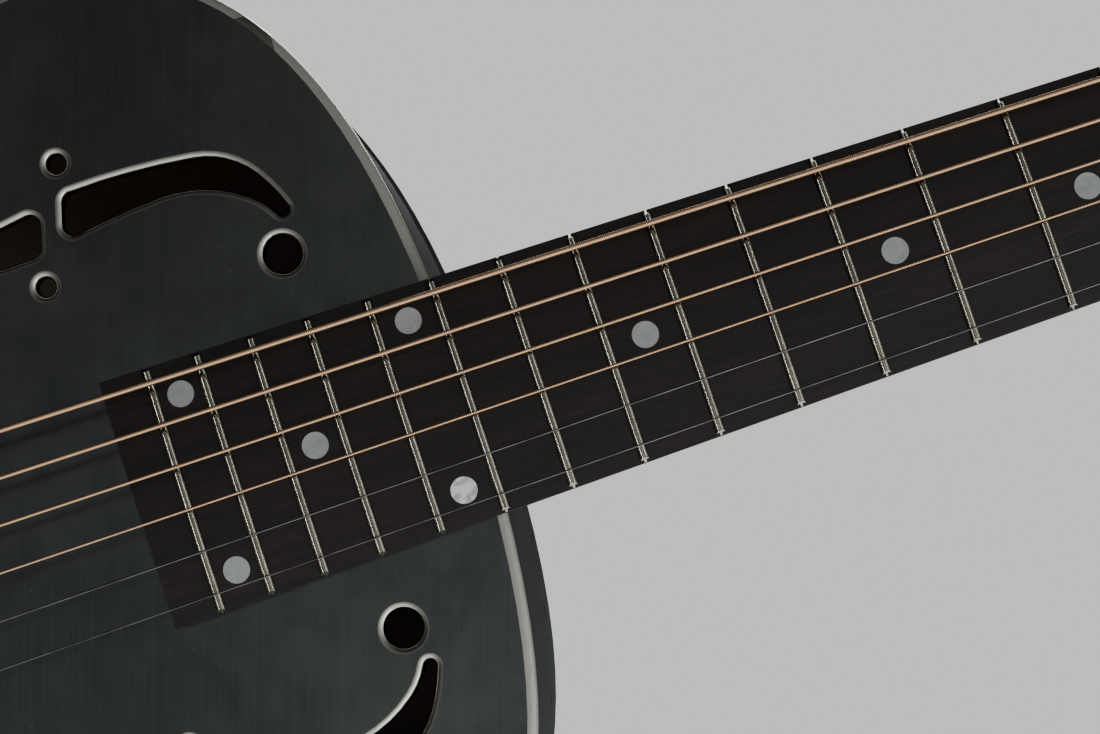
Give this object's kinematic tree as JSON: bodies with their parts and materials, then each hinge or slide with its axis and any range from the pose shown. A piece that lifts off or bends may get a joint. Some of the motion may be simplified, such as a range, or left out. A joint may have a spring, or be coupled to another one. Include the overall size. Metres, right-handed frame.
{
  "type": "resonator guitar",
  "caption": "Metal-bodied resonator guitar with a spun cone under a vented cover plate, segmented f-holes, dotted fingerboard and geared tuners.",
  "frame": {"origin": "on the flat back of the body, straight behind the middle of the bridge saddle", "axes": "+X to the treble side, +Y out of the back (the strings face -Y), +Z along the neck towards the headstock"},
  "size_m": [0.362, 0.1091, 0.9759],
  "materials": {
    "aged_steel": "antiqued nickel plated steel, hairline brushed, soft blotchy patina and worn rolled edges",
    "inner_metal": "bare soldered sheet, dull",
    "cone_aluminium": "spun, fine turning marks",
    "cover_metal": "antiqued nickel plate, brushed",
    "nickel": "aged nickel plate",
    "gear_brass": "cut brass, oiled",
    "button_plastic": "cream plastic, moulded",
    "fret_nickel": "polished nickel silver wire",
    "pearl": "mother of pearl, polished",
    "ebony": "dark fine grained wood, oiled",
    "black_plastic": "polished black plastic",
    "bone": "polished bone",
    "maple": "plain maple",
    "neck_wood": "dark stained mahogany, satin lacquer",
    "rod_steel": "plain steel",
    "bronze_wrap": "bronze wrap wire on a steel core",
    "plain_wire": "plain steel music wire"
  },
  "bodies": {
    "guitar": {"back_plate": "aged_steel", "biscuit_screw": "nickel", "bridge_biscuit": "maple", "bridge_saddle": "maple", "cone_well": "inner_metal", "cover_plate": "cover_metal", "cover_screws": "nickel", "end_strap_button": "nickel", "fingerboard": "ebony", "fingerboard_shim": "ebony", "fret_dots": "pearl", "frets": "fret_nickel", "hand_rest": "cover_metal", "headstock_overlay": "ebony", "heel_strap_button": "nickel", "neck": "neck_wood", "neck_stick": "maple", "nut": "bone", "plain_strings": "plain_wire", "post_bushings": "nickel", "resonator_cone": "cone_aluminium", "side_band": "aged_steel", "side_dots": "pearl", "stick_supports": "maple", "tailpiece_bracket": "nickel", "tailpiece_hinge_pin": "nickel", "tailpiece_screws": "nickel", "top_plate": "aged_steel", "truss_cover_screws": "nickel", "truss_rod": "rod_steel", "truss_rod_cover": "black_plastic", "tuner_plate_bass": "nickel", "tuner_plate_screws": "nickel", "tuner_plate_treble": "nickel", "wound_strings": "bronze_wrap"},
    "key_1": {"tuner_button_1": "button_plastic", "worm_shaft_1": "nickel"},
    "post_1": {"string_post_1": "nickel", "tuner_gear_1": "gear_brass"},
    "key_2": {"tuner_button_2": "button_plastic", "worm_shaft_2": "nickel"},
    "post_2": {"string_post_2": "nickel", "tuner_gear_2": "gear_brass"},
    "key_3": {"tuner_button_3": "button_plastic", "worm_shaft_3": "nickel"},
    "post_3": {"string_post_3": "nickel", "tuner_gear_3": "gear_brass"},
    "key_4": {"tuner_button_4": "button_plastic", "worm_shaft_4": "nickel"},
    "post_4": {"string_post_4": "nickel", "tuner_gear_4": "gear_brass"},
    "key_5": {"tuner_button_5": "button_plastic", "worm_shaft_5": "nickel"},
    "post_5": {"string_post_5": "nickel", "tuner_gear_5": "gear_brass"},
    "key_6": {"tuner_button_6": "button_plastic", "worm_shaft_6": "nickel"},
    "post_6": {"string_post_6": "nickel", "tuner_gear_6": "gear_brass"},
    "tailpiece": {"tailpiece_anchor": "nickel"}
  },
  "joints": [
    {"name": "key_1_turn", "type": "hinge", "parent": "guitar", "child": "key_1", "pos_m": [0.0245, -0.04759, 0.67776], "axis": [1, 0, 0], "continuous": true},
    {"name": "post_1_turn", "type": "hinge", "parent": "guitar", "child": "post_1", "pos_m": [0.0245, -0.06935, 0.67459], "axis": [0, -0.9659, 0.2588], "continuous": true},
    {"name": "key_2_turn", "type": "hinge", "parent": "guitar", "child": "key_2", "pos_m": [0.0245, -0.03835, 0.71225], "axis": [1, 0, 0], "continuous": true},
    {"name": "post_2_turn", "type": "hinge", "parent": "guitar", "child": "post_2", "pos_m": [0.0245, -0.06011, 0.70908], "axis": [0, -0.9659, 0.2588], "continuous": true},
    {"name": "key_3_turn", "type": "hinge", "parent": "guitar", "child": "key_3", "pos_m": [0.0245, -0.02911, 0.74673], "axis": [1, 0, 0], "continuous": true},
    {"name": "post_3_turn", "type": "hinge", "parent": "guitar", "child": "post_3", "pos_m": [0.0245, -0.05087, 0.74356], "axis": [0, -0.9659, 0.2588], "continuous": true},
    {"name": "key_4_turn", "type": "hinge", "parent": "guitar", "child": "key_4", "pos_m": [-0.0245, -0.02911, 0.74673], "axis": [1, 0, 0], "continuous": true},
    {"name": "post_4_turn", "type": "hinge", "parent": "guitar", "child": "post_4", "pos_m": [-0.0245, -0.05087, 0.74356], "axis": [0, -0.9659, 0.2588], "continuous": true},
    {"name": "key_5_turn", "type": "hinge", "parent": "guitar", "child": "key_5", "pos_m": [-0.0245, -0.03835, 0.71225], "axis": [1, 0, 0], "continuous": true},
    {"name": "post_5_turn", "type": "hinge", "parent": "guitar", "child": "post_5", "pos_m": [-0.0245, -0.06011, 0.70908], "axis": [0, -0.9659, 0.2588], "continuous": true},
    {"name": "key_6_turn", "type": "hinge", "parent": "guitar", "child": "key_6", "pos_m": [-0.0245, -0.04759, 0.67776], "axis": [1, 0, 0], "continuous": true},
    {"name": "post_6_turn", "type": "hinge", "parent": "guitar", "child": "post_6", "pos_m": [-0.0245, -0.06935, 0.67459], "axis": [0, -0.9659, 0.2588], "continuous": true},
    {"name": "tailpiece_rock", "type": "hinge", "parent": "guitar", "child": "tailpiece", "pos_m": [0, -0.0892, -0.171], "axis": [1, 0, 0], "range_deg": [-2.5, 2.5]}
  ],
  "couplings": [
    {"joint": "post_1_turn", "follows": "key_1_turn", "ratio": 0.071429},
    {"joint": "post_2_turn", "follows": "key_2_turn", "ratio": 0.071429},
    {"joint": "post_3_turn", "follows": "key_3_turn", "ratio": 0.071429},
    {"joint": "post_4_turn", "follows": "key_4_turn", "ratio": 0.071429},
    {"joint": "post_5_turn", "follows": "key_5_turn", "ratio": 0.071429},
    {"joint": "post_6_turn", "follows": "key_6_turn", "ratio": 0.071429}
  ]
}
